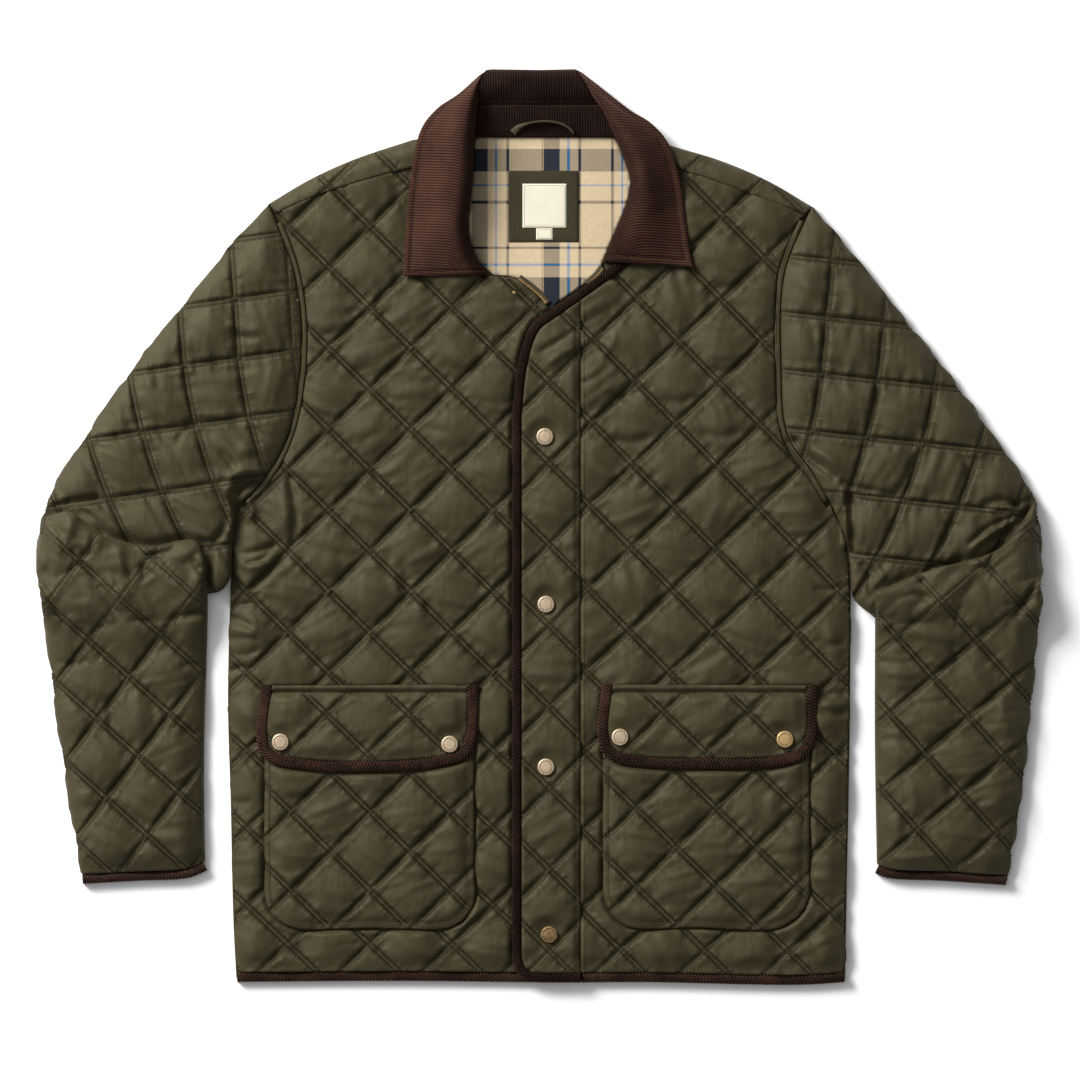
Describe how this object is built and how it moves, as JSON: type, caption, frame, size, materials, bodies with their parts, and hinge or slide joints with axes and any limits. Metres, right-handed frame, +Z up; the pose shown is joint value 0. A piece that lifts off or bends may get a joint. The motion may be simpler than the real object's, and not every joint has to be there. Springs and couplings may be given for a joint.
{
  "type": "quilted jacket",
  "caption": "Men's diamond-quilted jacket laid flat face up, with rib cloth collar and bindings, snap placket, flap pockets, long sleeves and a checked neck lining.",
  "frame": {"origin": "on the surface the jacket lies on, under the middle of its outline", "axes": "+X to the wearer's left across both sleeves, +Y from hem to collar, +Z up out of the fronts"},
  "size_m": [0.9248, 0.8414, 0.038],
  "materials": {
    "quilted_cloth": "olive woven polyester shell, soft satin sheen, diamond quilted over wadding with a double row of stitches",
    "rib_cloth": "dark brown fine corduroy, matt pile with raised ribs",
    "check_lining": "soft brushed cotton, tan ground with a navy, blue, grey and brown check",
    "label_cloth": "plain cream woven label, matt",
    "tape": "olive woven tape, matt",
    "brass": "pale antique brass, brushed, with darker recesses"
  },
  "bodies": {
    "root": {"back": "quilted_cloth", "shoulder_right": "quilted_cloth", "shoulder_left": "quilted_cloth", "front_right": "quilted_cloth", "front_left": "quilted_cloth", "placket": "quilted_cloth", "pocket_right": "quilted_cloth", "pocket_left": "quilted_cloth", "flap_right": "quilted_cloth", "flap_left": "quilted_cloth", "sleeve_right": "quilted_cloth", "sleeve_left": "quilted_cloth", "armhole_welt_right": "quilted_cloth", "armhole_welt_left": "quilted_cloth", "label_patch": "quilted_cloth", "flap_binding_right": "rib_cloth", "flap_binding_left": "rib_cloth", "cuff_binding_right": "rib_cloth", "cuff_binding_left": "rib_cloth", "hem_binding_right": "rib_cloth", "hem_binding_left": "rib_cloth", "hem_binding_back": "rib_cloth", "placket_binding": "rib_cloth", "collar_fall": "rib_cloth", "collar_stand": "rib_cloth", "neck_lining": "check_lining", "label": "label_cloth", "label_tab": "label_cloth", "hanger_loop": "tape", "zip_tape_right": "tape", "zip_tape_left": "tape", "snap_placket_1": "brass", "snap_placket_2": "brass", "snap_placket_3": "brass", "snap_placket_4": "brass", "snap_flap_right_1": "brass", "snap_flap_right_2": "brass", "snap_flap_left_1": "brass", "snap_flap_left_2": "brass", "snap_stud": "brass"}
  },
  "joints": []
}
